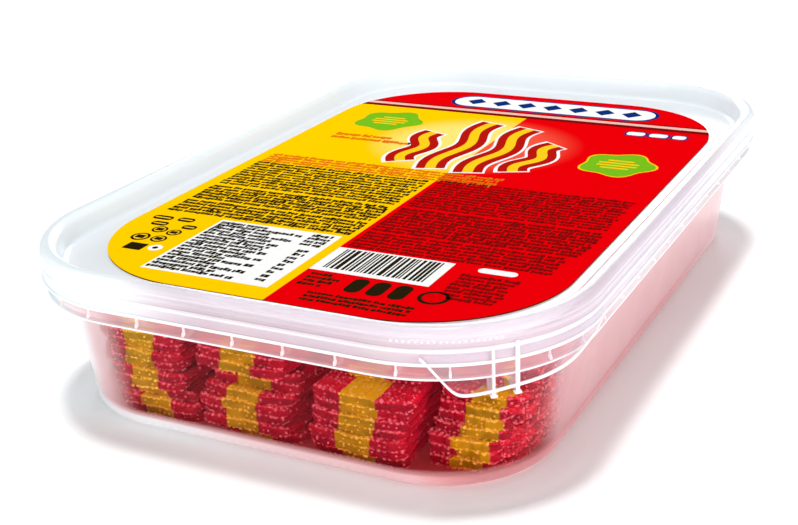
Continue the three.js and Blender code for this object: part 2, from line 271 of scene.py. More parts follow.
def clear_plastic(name, thin, fall, thin_belt_cast):
    """Slightly milky polypropylene, hazier where it turns away and where the moulding is thick, with a
    painted glow on thick parts; its thin colour is painted light from the belts.
    """
    paint = Paint(name)
    milk = paint.attribute("milk")
    facing = paint.node("ShaderNodeLayerWeight", None, {"Blend": 0.5}, out=1)
    cloud = paint.noise(9.0, 3) * 0.4 + 0.8
    haze = paint.math("MINIMUM", (facing ** fall * 1.9 + thin) * cloud, 0.9)
    cover = haze + (1 - haze) * milk
    ripple = paint.bump(paint.noise(5.0, 2, stretch=(2, 2, 0.6)), 0.25, 0.25)
    # Painted glow: thick plastic glows white, and bluish white where pale
    is_thick = paint.step(milk, 0.55, 0.95)
    pale = paint.attribute("pale")
    # The red cast attribute paints the belts' red into the plastic: a red colour, a red glow and a red
    # see-through
    painted_red_cast = paint.attribute("painted_red_cast")
    thick_colour = paint.mix(pale, (0.82, 0.815, 0.84), (0.78, 0.84, 0.86))
    thick_glow = paint.mix(pale, (1.0, 0.94, 0.95), (1.0, 1.35, 1.45))
    colour = paint.mix(painted_red_cast, paint.mix(is_thick, thin_belt_cast, thick_colour), (0.5, 0.0, 0.015))
    glow = paint.mix(painted_red_cast, paint.mix(is_thick, (0.0, 0.0, 0.0), thick_glow), (1.7, 0.0, 0.03))
    skin = paint.surface(Base_Color=colour, Roughness=0.25, Normal=ripple, Emission_Color=glow,
                         Emission_Strength=PLASTIC_GLOW)
    within = paint.node("ShaderNodeBsdfTranslucent", None, {"Color": (0.97, 0.95, 0.96)})
    body = paint.blend(0.28, skin, within)
    plain = paint.blend(facing ** 4, paint.see_through(0.985, 0.985, 0.99),
                        paint.see_through(0.74, 0.8, 0.86))
    clear = paint.blend(painted_red_cast, plain, paint.see_through(0.7, 0.01, 0.04))
    veiled = paint.blend(cover, clear, body)
    gloss = paint.node("ShaderNodeBsdfGlossy", None, {"Color": (1.0, 1.0, 1.0), "Roughness": 0.1})
    return paint.done(paint.blend(facing ** 5 * 0.45 + 0.002, veiled, gloss))


LABEL_BORDER_X = 0.3
BAND_LINE_Y = 54.3
LABEL_YELLOW = srgb(252, 197, 0)
LABEL_RED = srgb(225, 0, 8)
GLOW_CENTRE = (-3.0, 26.0)
GLOW_REACH = (27.0, 24.0)


def label_material():
    """Printed film: a yellow half, a red half, a red far band and a pale glow round the drawn belts."""
    paint = Paint("label_print")
    x, y, z = paint.parts(paint.place())
    right = paint.step(x, LABEL_BORDER_X - 0.04, LABEL_BORDER_X + 0.04)
    far = paint.step(y, BAND_LINE_Y - 0.04, BAND_LINE_Y + 0.04)
    from_glow_x = (x - GLOW_CENTRE[0]) / GLOW_REACH[0]
    from_glow_y = (y - GLOW_CENTRE[1]) / GLOW_REACH[1]
    from_glow = from_glow_x * from_glow_x + from_glow_y * from_glow_y
    glow = (1 - paint.step(from_glow, 0.25, 1.0)) * 0.55
    yellow = paint.mix(glow, LABEL_YELLOW, srgb(255, 238, 150))
    red = paint.mix(glow, LABEL_RED, srgb(244, 110, 84))
    halves = paint.mix(right, yellow, red)
    fields = paint.mix(far, halves, LABEL_RED)
    side = paint.step(z, LABEL_HIGH.z - 0.05, LABEL_HIGH.z - 0.01)
    base = paint.mix(side, srgb(110, 40, 0), fields)
    gloss = paint.noise(14, 2) * 0.12 + 0.42
    normal = paint.bump(paint.noise(3.0, 2), 0.06, 0.1)
    shader = paint.surface(Base_Color=base, Roughness=gloss, Specular_IOR_Level=0.0, Normal=normal)
    return paint.done(shader)


def ink(name, colour):
    """One printing ink, a little uneven."""
    paint = Paint(name)
    uneven = paint.noise(0.8, 2)
    darker = tuple(v * 0.82 for v in colour)
    base = paint.mix(uneven, darker, colour)
    return paint.done(paint.surface(Base_Color=base, Roughness=0.45, Specular_IOR_Level=0.0))


def floor_material():
    paint = Paint("pale_floor")
    base = paint.mix(paint.noise(60, 2), (0.91, 0.935, 0.935), (0.94, 0.96, 0.96))
    return paint.done(paint.surface(Base_Color=base, Roughness=0.7, Specular_IOR_Level=0.2,
                                    Emission_Color=(1.0, 1.0, 1.0), Emission_Strength=FLOOR_GLOW))


# Pieces
def new_object(name, data):
    made = bpy.data.objects.new(name, data)
    bpy.context.scene.collection.objects.link(made)
    return made


def new_piece(name, points, faces, material, replaces=(), crease=None, values=None):
    """A piece from points in millimetres and arrays of faces, each array with one number of corners."""
    mesh = bpy.data.meshes.new(name)
    points = np.asarray(points, np.float64).reshape(-1, 3) * MM
    faces = [np.asarray(f, np.int32) for f in faces if len(f)]
    sizes = np.concatenate([np.full(len(f), f.shape[1], np.int32) for f in faces])
    corners = np.concatenate([f.ravel() for f in faces])
    mesh.vertices.add(len(points))
    mesh.vertices.foreach_set("co", points.astype(np.float32).ravel())
    mesh.loops.add(len(corners))
    mesh.loops.foreach_set("vertex_index", corners)
    mesh.polygons.add(len(sizes))
    mesh.polygons.foreach_set("loop_start", np.concatenate([[0], np.cumsum(sizes)[:-1]]).astype(np.int32))
    mesh.update(calc_edges=True)
    mesh.shade_smooth()
    if crease is not None:
        mesh.set_sharp_from_angle(angle=math.radians(crease))
    for key, numbers in (values or {}).items():
        attribute = mesh.attributes.new(key, "FLOAT", "POINT")
        attribute.data.foreach_set("value", np.asarray(numbers, np.float32).ravel())
    mesh.materials.append(material)
    piece = new_object(name, mesh)
    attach(piece, "root")
    if replaces:
        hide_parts(*replaces)


def grid_faces(rows, columns, wrap_columns=False):
    """Quads over a grid of points, row by row."""
    r = np.arange(rows - 1)[:, None]
    c = np.arange(columns if wrap_columns else columns - 1)[None, :]
    following = (c + 1) % columns
    here = r * columns + c
    there = r * columns + following
    return np.stack([here, there, there + columns, here + columns], -1).reshape(-1, 4)


def tube_faces(rings, count):
    """The walls between rings of count points and a flat face over each end."""
    ring = np.arange(count)
    return [grid_faces(rings, count, wrap_columns=True), ring[::-1][None], (ring + (rings - 1) * count)[None]]


def repeated(faces, copies, points_each):
    """The faces of one shape again for each of its copies, whose points follow one another."""
    starts = np.arange(copies)[:, None, None] * points_each
    return [(part[None] + starts).reshape(-1, part.shape[1]) for part in faces]


def moulded(name, shape, plastic, crease, cloud):
    """A small piece of clear plastic from (points, faces), equally milky all over."""
    points, faces = shape
    new_piece(name, points, faces, plastic, (), crease, {"milk": np.full(len(points), cloud)})


def ramp(places, start, end):
    """Rises from 0 to 1 as places go from start to end."""
    return np.clip((places - start) / (end - start), 0, 1)


# The tub and its lid
def plan_directions():
    """Centre and outward direction for each point of the plan outline, anticlockwise from the +X side."""
    centres, directions = [], []
    for corner, middle in enumerate(PLAN_CORNERS):
        for step in range(CORNER_STEPS + 1):
            angle = (corner + step / CORNER_STEPS) * math.pi / 2
            centres.append(middle)
            directions.append((math.cos(angle), math.sin(angle)))
        # The straight side that follows
        for step in range(1, SIDE_STEPS):
            along = (PLAN_CORNERS[(corner + 1) % 4] - middle) * step / SIDE_STEPS
            centres.append(middle + along)
            directions.append(directions[-1])
    return np.array(centres), np.array(directions)


PLAN_CENTRES, PLAN_DIRECTIONS = plan_directions()


def rounded(profile, steps=3):
    """Rounds each inner corner of a profile of (offset, z, milk, radius)."""
    points = [profile[0][:3]]
    for before, here, after in zip(profile, profile[1:], profile[2:]):
        corner = np.array(here[:2])
        ways = [np.array(other[:2]) - corner for other in (before, after)]
        lengths = [np.linalg.norm(way) for way in ways]
        reach = min(here[3], 0.45 * lengths[0], 0.45 * lengths[1])
        if reach < 0.02:
            points.append(here[:3])
            continue
        start, end = (corner + way / length * reach for way, length in zip(ways, lengths))
        for t in np.linspace(0, 1, steps + 1):
            x, z = start * (1 - t) ** 2 + corner * 2 * t * (1 - t) + end * t ** 2
            points.append((x, z, here[2]))
    points.append(profile[-1][:3])
    return np.array(points)


def shell(profile):
    """A closed body whose profile runs round the plan outline, with flat middles."""
    offsets, heights, milk = rounded(profile).T
    plan = PLAN_CENTRES[None] + PLAN_DIRECTIONS[None] * (CORNER_RADIUS + offsets)[:, None, None]
    count = len(PLAN_DIRECTIONS)
    z = np.broadcast_to(heights[:, None, None], (len(offsets), count, 1))
    points = np.concatenate([plan, z], -1).reshape(-1, 3)
    return points, tube_faces(len(offsets), count), np.repeat(milk, count)


def tub_profile():
    """From the middle of the underside out, over the rim and down to the floor."""
    foot = FOOT_OFFSET - FOOT_RADIUS
    wall_inner = WALL_TOP_OFFSET - WALL
    upstand_inner = UPSTAND_OFFSET - WALL
    inner_radius = FOOT_RADIUS - WALL
    outer_arc = [(foot + FOOT_RADIUS * math.sin(a), FOOT_RADIUS * (1 - math.cos(a)), 0.88, 0.2)
                 for a in np.linspace(0, math.pi / 2, 7)]
    inner_arc = [(foot + inner_radius * math.cos(a), FLOOR_Z + inner_radius * (1 - math.sin(a)),
                  max(0.0, 1.6 * math.sin(a) - 1.1), 0.2)
                 for a in np.linspace(0, math.pi / 2, 7)]
    return [
        (foot - 9.0, 0.35, 0.02, 0),
        (foot - 3.2, 0.35, 0.05, 0.3),
        (foot - 2.4, 0.0, 0.2, 0.3),
        *outer_arc,
        (FOOT_OFFSET + 0.1, FOOT_RADIUS + 0.8, 0.5, 0),
        (FOOT_OFFSET + 0.2, FOOT_RADIUS + 1.7, 0.0, 0),
        (WALL_TOP_OFFSET - 0.1, LEDGE_Z - 0.9, 0.0, 0.2),
        (WALL_TOP_OFFSET + 0.2, LEDGE_Z, 0.1, 0.5),
        (upstand_inner, LEDGE_Z, 0.12, 0.4),
        (upstand_inner, COLLAR_Z + 0.3, 0.25, 0.2),
        (upstand_inner + 0.2, COLLAR_Z, 0.6, 0.2),
        (COLLAR_LIP_OFFSET, COLLAR_Z, 0.95, 0.15),
        (COLLAR_LIP_OFFSET, COLLAR_Z + 0.32, 0.92, 0.12),
        (COLLAR_LIP_OFFSET - 0.12, COLLAR_Z + 0.44, 0.4, 0.1),
        (UPSTAND_OFFSET, COLLAR_Z + 0.75, 0.32, 0.2),
        (UPSTAND_OFFSET, SKIRT_BOTTOM_Z - 0.1, 0.32, 0),
        (UPSTAND_OFFSET, TUB_TOP_Z - 0.2, 0.05, 0.3),
        (UPSTAND_OFFSET - 0.4, TUB_TOP_Z, 0.3, 0.3),
        (upstand_inner, TUB_TOP_Z - 0.2, 0.1, 0.3),
        (upstand_inner, LEDGE_Z + WALL, 0.05, 0.5),
        (wall_inner, LEDGE_Z + WALL, 0.15, 0.5),
        (wall_inner - 0.15, LEDGE_Z - 0.8, 0.0, 0.3),
        *inner_arc,
        (foot - 9.0, FLOOR_Z, 0.5, 0),
    ]


def lid_profile():
    """From the middle of the panel's underside out, down the skirt, over the rim and down to the panel."""
    under_panel = PANEL_TOP_Z - WALL
    roof = RIM_TOP_Z - 0.9
    return [
        (-12.0, under_panel, 0.05, 0),
        (-4.2, under_panel, 0.1, 0.4),
        (-3.1, under_panel + 0.5, 0.1, 0.4),
        (-2.4, roof - 0.5, 0.05, 0.5),
        (-1.9, roof, 0.05, 0.4),
        (-0.9, roof, 0.05, 0.4),
        (-0.5, roof - 0.4, 0.05, 0.4),
        (-0.5, 29.7, 0.3, 0.3),
        (-0.7, 29.2, 0.4, 0.2),
        (-0.7, SKIRT_BOTTOM_Z + 0.1, 0.4, 0.1),
        (-0.6, SKIRT_BOTTOM_Z, 0.85, 0.1),
        (0.35, SKIRT_BOTTOM_Z, 0.95, 0.25),
        (0.35, SKIRT_BOTTOM_Z + 0.5, 0.95, 0.2),
        (0.08, SKIRT_BOTTOM_Z + 0.72, 0.56, 0.2),
        (0.08, 28.9, 0.56, 0.2),
        (0.42, 29.15, 0.7, 0.25),
        (0.42, 29.35, 0.9, 0.1),
        (0.42, 29.75, 0.75, 0.25),
        (0.22, 30.05, 0.5, 0.15),
        (0.22, 30.6, 0.5, 0.15),
        (0.3, 30.75, 0.6, 0.15),
        (0.3, 31.3, 0.6, 0.15),
        (0.24, 31.4, 0.5, 0.1),
        (0.24, 31.75, 0.5, 0.1),
        (0.38, 31.9, 0.62, 0.15),
        (0.38, 32.4, 0.5, 0.4),
        (-0.35, RIM_TOP_Z, 0.42, 0.5),
        (-1.6, RIM_TOP_Z, 0.46, 0.4),
        (-2.2, RIM_TOP_Z - 0.15, 0.55, 0.4),
        (-3.1, RIM_TOP_Z - 0.9, 0.55, 0.5),
        (-3.8, PANEL_TOP_Z + 0.6, 0.6, 0.3),
        (-4.5, PANEL_TOP_Z, 0.9, 0.5),
        (-12.0, PANEL_TOP_Z, 0.8, 0),
    ]


def outline_spots(across, along, in_corner):
    """Places round the plan outline and the way out from each, with so many on a side and in a corner."""
    spots = []
    for side in (1, -1):
        for x in (np.arange(across) - (across - 1) / 2) * GUSSET_PITCH:
            spots.append((x, side * HALF_LENGTH, side * math.pi / 2))
        for y in (np.arange(along) - (along - 1) / 2) * GUSSET_PITCH:
            spots.append((side * HALF_WIDTH, y, 0 if side > 0 else math.pi))
    for corner, (centre_x, centre_y) in enumerate(PLAN_CORNERS):
        for i in range(in_corner):
            if corner == 3 and i == in_corner // 2:
                continue  # the pull tab's struts stand here
            angle = (corner + (i + 0.5) / in_corner) * math.pi / 2
            x = centre_x + CORNER_RADIUS * math.cos(angle)
            y = centre_y + CORNER_RADIUS * math.sin(angle)
            spots.append((x, y, angle))
    return spots


def upright_plates(spots, side, thickness):
    """Plates that stand across the outline, one at each spot, from their side view of (offset, z) points."""
    offsets, heights = np.array(side).T
    points = []
    for x, y, angle in spots:
        out = np.array([math.cos(angle), math.sin(angle)])
        along = np.array([-out[1], out[0]])
        for shift in (-thickness / 2, thickness / 2):
            flat = np.array([x, y]) + out * offsets[:, None] + along * shift
            points.append(np.column_stack([flat, heights]))
    return np.concatenate(points), repeated(tube_faces(2, len(side)), len(spots), 2 * len(side))


def bluish_end(points):
    """1 at the far end and the left side, where the plastic is painted bluish white with a glow, and 0 at the
    near right.
    """
    return np.clip((points[:, 1] - 1.9 * points[:, 0] + 54) / 40 + 0.5, 0, 1)


def block_on_upstand(low, high, out_low, out_high, slope):
    """Side view of a small block outside the upstand, with a top that slopes down and out."""
    inner = UPSTAND_OFFSET - 0.1
    return [
        (UPSTAND_OFFSET + out_high, high - slope),
        (inner, high),
        (inner, low),
        (UPSTAND_OFFSET + out_low, low),
    ]


def make_tub(plastic):
    points, faces, milk = shell(tub_profile())
    x, y, z = points.T
    ring = np.arange(len(points)) // len(PLAN_DIRECTIONS)
    inside = ring > ring[z.argmax()] + 4
    # Painted red cast: next to the belts the floor, its corner, the foot (redder to the right) and the near
    # windows are painted with the belts' red, less where the end is pale
    reddish = np.interp(x, [-35, 30], [0.02, 0.4])
    painted_red_cast = np.where(inside, 0.9 * ramp(z, FLOOR_Z + 2.4, FLOOR_Z), reddish * (z < FOOT_RADIUS + 1.2))
    window = ~inside & (z > COLLAR_Z + 0.4) & (z < SKIRT_BOTTOM_Z) & (y < -60)
    pale = bluish_end(points) * ~inside
    painted_red_cast = np.where(window, 0.2, painted_red_cast) * (1 - pale)
    # A veil over the near left corner, and a clearer foot at the right
    veil = np.interp(x, [-42, -37, -33, -27], [0.92, 0.66, 0.46, 0])
    veil = veil * ramp(y, -40, -64) * ~inside * (z < LEDGE_Z - 0.5)
    milk = milk + (1 - milk) * veil * (z > 3)
    clearer = ramp(x, 30, 40) * ~inside * (z > 0.3) * (z < 4)
    milk = milk * (1 - 0.5 * clearer)
    # The long right side is whiter than the near one, most of all its collar and upstand
    whiter = ramp(x, 44, 52) * ramp(y, -62, -42) * ~inside
    share = np.interp(z, [3, 4, COLLAR_Z - 0.6, COLLAR_Z - 0.5], [0, 0.5, 0.5, 0.75])
    milk = milk + (1 - milk) * whiter * share
    values = {"milk": milk, "painted_red_cast": painted_red_cast, "pale": pale}
    new_piece("tub_shell", points, faces, plastic, ["tub"], 35, values)


def make_tub_ribs(plastic):
    """Webs under the ledge, with brighter edges, and ribs with feet outside the upstand."""
    upstand_inner = UPSTAND_OFFSET - WALL
    web = [
        (upstand_inner + 0.1, LEDGE_Z + 0.1),
        (WALL_TOP_OFFSET + 0.05, LEDGE_Z + 0.1),
        (WALL_TOP_OFFSET - 0.12, LEDGE_Z - 0.9),
        (upstand_inner - 1.6, COLLAR_Z + 0.9),
        (upstand_inner - 0.7, COLLAR_Z + 0.3),
        (upstand_inner + 0.1, COLLAR_Z + 0.2),
    ]
    inner_line = web[1:]
    edge = inner_line + [(offset - 0.22, z - 0.16) for offset, z in reversed(inner_line[1:])]
    spots = outline_spots(5, 11, 5)
    for name, side, thickness, cloud in (
        ("tub_webs", web, 0.6, 0.12),
        ("tub_web_edges", edge, 0.5, 0.7),
        ("tub_ribs", block_on_upstand(COLLAR_Z + 0.5, SKIRT_BOTTOM_Z, 0.3, 0.3, 0), 0.3, 0.75),
        ("tub_rib_tops", block_on_upstand(SKIRT_BOTTOM_Z, SKIRT_BOTTOM_Z + 2.4, 0.3, 0.3, 0.2), 0.32, 0.3),
        ("tub_rib_feet", block_on_upstand(COLLAR_Z + 0.45, COLLAR_Z + 1.4, 0.6, 0.45, 0.25), 0.45, 0.8),
    ):
        moulded(name, upright_plates(spots, side, thickness), plastic, 20, cloud)


def corner_point(offset, z, degrees):
    """A place round the near right corner, by its angle from -Y towards +X."""
    angle = np.radians(degrees)
    radius = CORNER_RADIUS + offset
    x = PLAN_CORNERS[3][0] + radius * np.sin(angle)
    y = PLAN_CORNERS[3][1] - radius * np.cos(angle)
    return np.stack(np.broadcast_arrays(x, y, z), -1)


TAB_START = 17.6
TAB_END = 92
TAB_TOP_Z = 28.9
TAB_EDGE = ((17.6, 28.5), (27.6, 22.2), (29.5, 21.65), (34, 21.65), (48, 22.35), (58, 22.6),
            (66, 23.1), (72, 23.8), (78, 24.8), (85, 25.6), (92, 26.6))
STRUT_BOTTOM_Z = LID_LOW.z
# Name, angle round the corner, half width and top of each strut
STRUTS = (("left", 40.3, 0.2, 29.6), ("right", 48.3, 0.28, 30.3))


def tab_bottom(degrees):
    """Lower edge of the pull tab: down a slanting side, along the bottom and slowly up to the right."""
    places, heights = np.array(TAB_EDGE).T
    near = degrees[:, None] + np.linspace(-2, 2, 9)
    return np.interp(near, places, heights).mean(1)


def corner_band(degrees, inner, outer, bottom, top, sides=8):
    """A band round the corner with a rounded four-sided section, which may change along it."""
    turn = np.arange(sides) / sides * 2 * math.pi + math.pi / sides
    square = np.column_stack([np.cos(turn), np.sin(turn)])
    square /= np.abs(square).max(1, keepdims=True) ** 0.75
    limits = (np.broadcast_to(limit, degrees.shape)[:, None] for limit in (inner, outer, bottom, top))
    inner, outer, bottom, top = limits
    offsets = (inner + outer) / 2 + (outer - inner) / 2 * square[None, :, 0]
    heights = (bottom + top) / 2 + (top - bottom) / 2 * square[None, :, 1]
    points = corner_point(offsets, heights, degrees[:, None]).reshape(-1, 3)
    return points, tube_faces(len(degrees), sides)


def make_pull_tab(plastic):
    degrees = np.concatenate([np.linspace(TAB_START, 34, 30), np.linspace(35, TAB_END, 54)])
    bottom = tab_bottom(degrees)
    inner, outer = -0.05, 0.65
    band = corner_band(degrees, inner, outer, bottom, TAB_TOP_Z)
    moulded("pull_tab", band, plastic, 30, 0.02)
    stand_out = np.interp(degrees, [TAB_START, 70, TAB_END], [0.42, 0.36, -0.25])
    bead = corner_band(degrees, outer - 0.35, outer + stand_out, bottom - 0.05, bottom + 0.47)
    moulded("pull_tab_bead", bead, plastic, 50, 0.93)
    for side, middle, strut_half, strut_top in STRUTS:
        for part, half, steps, reach, low, high, cloud in (
            ("strut", strut_half, 4, (0.4, 0.98), STRUT_BOTTOM_Z + 0.1, strut_top, 0.9),
            ("foot", 0.5, 5, (0.1, 1.2), STRUT_BOTTOM_Z, STRUT_BOTTOM_Z + 0.6, 0.9),
            ("web", 0.3, 3, (-2.2, 0.3), STRUT_BOTTOM_Z + 0.3, COLLAR_Z - 0.25, 0.16),
        ):
            half_turn = math.degrees(half / (CORNER_RADIUS + outer))
            places = np.linspace(middle - half_turn, middle + half_turn, steps)
            band = corner_band(places, *reach, low, high)
            moulded(f"pull_tab_{part}_{side}", band, plastic, 40, cloud)


def bumps(centres, radius):
    """Small round bumps as (points, faces)."""
    rings, sectors = 4, 8
    polar = np.linspace(0.12, math.pi - 0.12, rings + 1)
    turn = np.arange(sectors) / sectors * 2 * math.pi
    ball = np.stack([
        np.sin(polar)[:, None] * np.cos(turn)[None],
        np.sin(polar)[:, None] * np.sin(turn)[None],
        np.repeat(np.cos(polar)[:, None], sectors, 1),
    ], -1).reshape(-1, 3) * radius
    points = (np.asarray(centres)[:, None] + ball[None]).reshape(-1, 3)
    outward = [part[:, ::-1] for part in tube_faces(rings + 1, sectors)]
    return points, repeated(outward, len(centres), len(ball))


KNURL_PITCH = 0.98
KNURL_Z = 31.1
KNURL_START = 8.5
KNURL_END = 45


def make_lid(plastic):
    points, faces, milk = shell(lid_profile())
    # Painted light: the far end and the left side are made the milkiest, and pale marks them for a
    # bluish-white painted glow
    pale = bluish_end(points) * (milk > 0.4)
    far = ramp(points[:, 1] - 1.1 * points[:, 0], -72, -12) * (milk > 0.4)
    milk = milk + (0.98 - milk) * np.maximum(far, pale) * 0.95
    new_piece("lid_shell", points, faces, plastic, ["lid"], 35, {"milk": milk, "pale": pale})
    make_pull_tab(plastic)
    turn = np.arange(KNURL_START, KNURL_END, math.degrees(KNURL_PITCH / CORNER_RADIUS))
    moulded("lid_knurl", bumps(corner_point(0.2, KNURL_Z, turn), 0.25), plastic, None, 0.9)


# The label, its inks from the film up
LABEL_RADIUS = 27.5
INK_STEP = 0.02


def rounded_box(centre, half, radius, steps=6):
    """Outline of a rounded box, anticlockwise."""
    radius = min(radius, *half)
    points = []
    for corner, signs in enumerate(CORNER_SIGNS):
        middle = centre + signs * (np.array(half) - radius)
        for step in range(steps + 1):
            angle = (corner + step / steps) * math.pi / 2
            points.append(middle + radius * np.array([math.cos(angle), math.sin(angle)]))
    return np.array(points)


def disc(centre, radius, lobes=0, depth=0.0, steps=40):
    """Outline of a disc, or of a badge with a wavy edge."""
    turn = np.arange(steps) / steps * 2 * math.pi
    reach = radius * (1 + depth * np.cos(turn * lobes))
    return np.column_stack([centre[0] + reach * np.cos(turn), centre[1] + reach * np.sin(turn)])


def prism(outline, low, high):
    """A flat plate of an outline, as (points, faces)."""
    points = np.concatenate([np.column_stack([outline, np.full(len(outline), z)]) for z in (low, high)])
    return points, tube_faces(2, len(outline))


class Ink:
    """Printed shapes of one colour, joined into one piece."""

    def __init__(self, name, colour):
        self.name = name
        self.colour = colour
        self.points = []
        self.faces = []
        self.count = 0

    def add(self, outline, layer=1):
        top = LABEL_HIGH.z + INK_STEP * layer
        points, faces = prism(outline, LABEL_HIGH.z - INK_STEP, top)
        self.points.append(points)
        self.faces += [f + self.count for f in faces]
        self.count += len(points)

    def bar(self, x0, y0, x1, y1, layer=1):
        self.add(np.array([(x0, y0), (x1, y0), (x1, y1), (x0, y1)]), layer)

    def print(self):
        new_piece(self.name, np.concatenate(self.points), self.faces, ink(self.name, self.colour),
                  (), 30)


def rows_of_bars(rng, ink_used, x0, x1, y_top, rows, pitch, height, shape, layer=1):
    """Lines of small upright bars in groups. shape says how long each row is."""
    for row in range(rows):
        y = y_top - row * pitch - height
        x = x0 + rng.uniform(0, 0.4)
        end = x0 + (x1 - x0) * shape(row)
        while x < end:
            for _ in range(rng.integers(3, 11)):
                width = rng.uniform(0.45, 0.95)
                if x + width > end:
                    break
                rise = height * rng.choice([0.78, 0.78, 0.9, 1.1])
                drop = height * rng.choice([0.0, 0.0, 0.2])
                ink_used.bar(x, y - drop, x + width, y + rise, layer)
                x += width + rng.uniform(0.08, 0.15)
            x += rng.uniform(0.28, 0.5)


INK_COLOURS = {
    "black": srgb(38, 30, 12),
    "maroon": srgb(120, 14, 12),
    "orange": srgb(226, 116, 16),
    "white": srgb(252, 252, 250),
    "green": srgb(120, 190, 30),
    "navy": srgb(12, 48, 120),
    "pale": srgb(250, 190, 176),
    "rust": srgb(184, 22, 16),
    "lemon": srgb(255, 206, 30),
    "red": LABEL_RED,
}


def make_label():
    low, high = np.array(LABEL_LOW)[:2], np.array(LABEL_HIGH)[:2]
    film = rounded_box((low + high) / 2, (high - low) / 2, LABEL_RADIUS, 40)
    points, faces = prism(film, LABEL_LOW.z, LABEL_HIGH.z)
    new_piece("label_film", points, faces, label_material(), ["label"], 40)
    rng = np.random.default_rng(SEED)
    inks = [Ink(f"label_ink_{name}", colour) for name, colour in INK_COLOURS.items()]
    black, maroon, orange, white, green, navy, pale, rust, lemon, red = inks
    make_far_band(maroon, pale, white, navy)
    make_badges(green, lemon)
    make_ribbons(white, rust, lemon)
    make_small_print(rng, black, maroon, orange)
    make_panels(rng, black, white, lemon, red)
    for one in inks:
        one.print()


def line_across(ink_used, low, high, layer):
    """A line across the far end of the label, cut off where the label's corners turn in."""
    corner_x, corner_y = LABEL_HIGH.x - LABEL_RADIUS, LABEL_HIGH.y - LABEL_RADIUS
    near, far = (corner_x + math.sqrt(LABEL_RADIUS ** 2 - (y - corner_y) ** 2) for y in (low, high))
    ink_used.add(np.array([(-near, low), (near, low), (far, high), (-far, high)]), layer)


def make_far_band(maroon, pale, white, navy):
    """The line across the label, a white capsule with navy lozenges beyond it and three pills before it."""
    line_across(maroon, BAND_LINE_Y - 2.7, BAND_LINE_Y + 2.1, 1)
    line_across(pale, BAND_LINE_Y - 0.8, BAND_LINE_Y + 1.1, 2)
    centre = (3, 63)
    navy.add(rounded_box(centre, (28.0, 5.6), 5.6), 1)
    white.add(rounded_box(centre, (27.0, 4.7), 4.7), 2)
    for i in range(7):
        x = centre[0] + (i - 3) * 7.0
        navy.add(np.array([(x - 2.6, 63), (x, 60.2), (x + 2.6, 63), (x, 65.8)]), 3)
    for x, half in ((30, 2.2), (35.5, 2.2), (40.5, 1.6)):
        navy.add(rounded_box((x, 47), (half + 0.5, 1.9), 1.2), 1)
        white.add(rounded_box((x, 47), (half, 1.4), 1.0), 2)


def make_badges(green, lemon):
    """Two plain green badges with pale bars across them."""
    for centre, radius in (((-31.5, 38.5), 8.2), ((33.5, 22.0), 7.8)):
        lemon.add(disc(centre, radius + 0.5, 5, 0.1, 60), 1)
        green.add(disc(centre, radius, 5, 0.1, 60), 2)
        for i, half in enumerate((3.0, 4.6, 4.6, 3.2)):
            y = centre[1] + 2.7 - i * 1.8
            lemon.bar(centre[0] - half, y - 0.45, centre[0] + half, y + 0.45, 3)


def ribbon(ink_used, start, end, width, sway, layer):
    """A wavy strip from start to end."""
    start, end = np.array(start, float), np.array(end, float)
    steps = np.linspace(0, 1, 25)
    along = (end - start) / np.linalg.norm(end - start)
    aside = np.array([-along[1], along[0]])
    middle = start + (end - start) * steps[:, None] + aside * (sway * np.sin(steps * 3 * math.pi))[:, None]
    slope = np.gradient(middle, axis=0)
    slope /= np.linalg.norm(slope, axis=1, keepdims=True)
    out = np.column_stack([-slope[:, 1], slope[:, 0]]) * width / 2
    left, right = middle + out, middle - out
    for i in range(len(steps) - 1):
        ink_used.add(np.array([right[i], right[i + 1], left[i + 1], left[i]]), layer)


def make_ribbons(white, rust, lemon):
    """Wavy striped belts side by side."""
    for x, lower, upper in ((-16.0, 8, 33), (-5.6, 5, 45), (5.0, 5, 43), (15.6, 9, 32)):
        for layer, ink_used, trim, width in ((1, white, 0, 8.0), (2, rust, 0.6, 6.6), (3, lemon, 0.6, 2.4)):
            ribbon(ink_used, (x * 0.86, lower + trim), (x, upper - trim), width, 1.3, layer)


def make_small_print(rng, black, maroon, orange):
    """Lines of bars on the yellow and the red half."""
    def even(row):
        return 1.0

    def ragged(row):
        return 0.62 + 0.38 * math.sin(row * 2.1) ** 2

    for lines in (
        (orange, -39, -13, 25.0, 2, 2.8, 1.7, ragged),
        (orange, -44.5, 14, 3.8, 4, 1.6, 1.2, even),
        (black, -44.5, -0.6, -2.8, 11, 1.6, 1.08, even),
        (black, -44.5, -0.6, -21.2, 6, 1.6, 1.2, even),
        (black, -44.5, -0.6, -31.4, 5, 1.6, 1.2, even),
        (maroon, 1.2, 45.0, -1.4, 12, 1.55, 1.08, even),
        (maroon, 1.2, 45.0, -20.8, 9, 1.6, 1.25, even),
        (maroon, 1.2, 43.0, -35.8, 6, 1.55, 1.08, even),
        (black, 1.6, 10.0, -58.6, 4, 1.6, 0.95, ragged),
        (black, 5.5, 27.0, -66.6, 3, 1.5, 0.9, even),
        (maroon, 27.5, 39.0, -49.6, 8, 1.5, 1.1, even),
    ):
        rows_of_bars(rng, *lines)


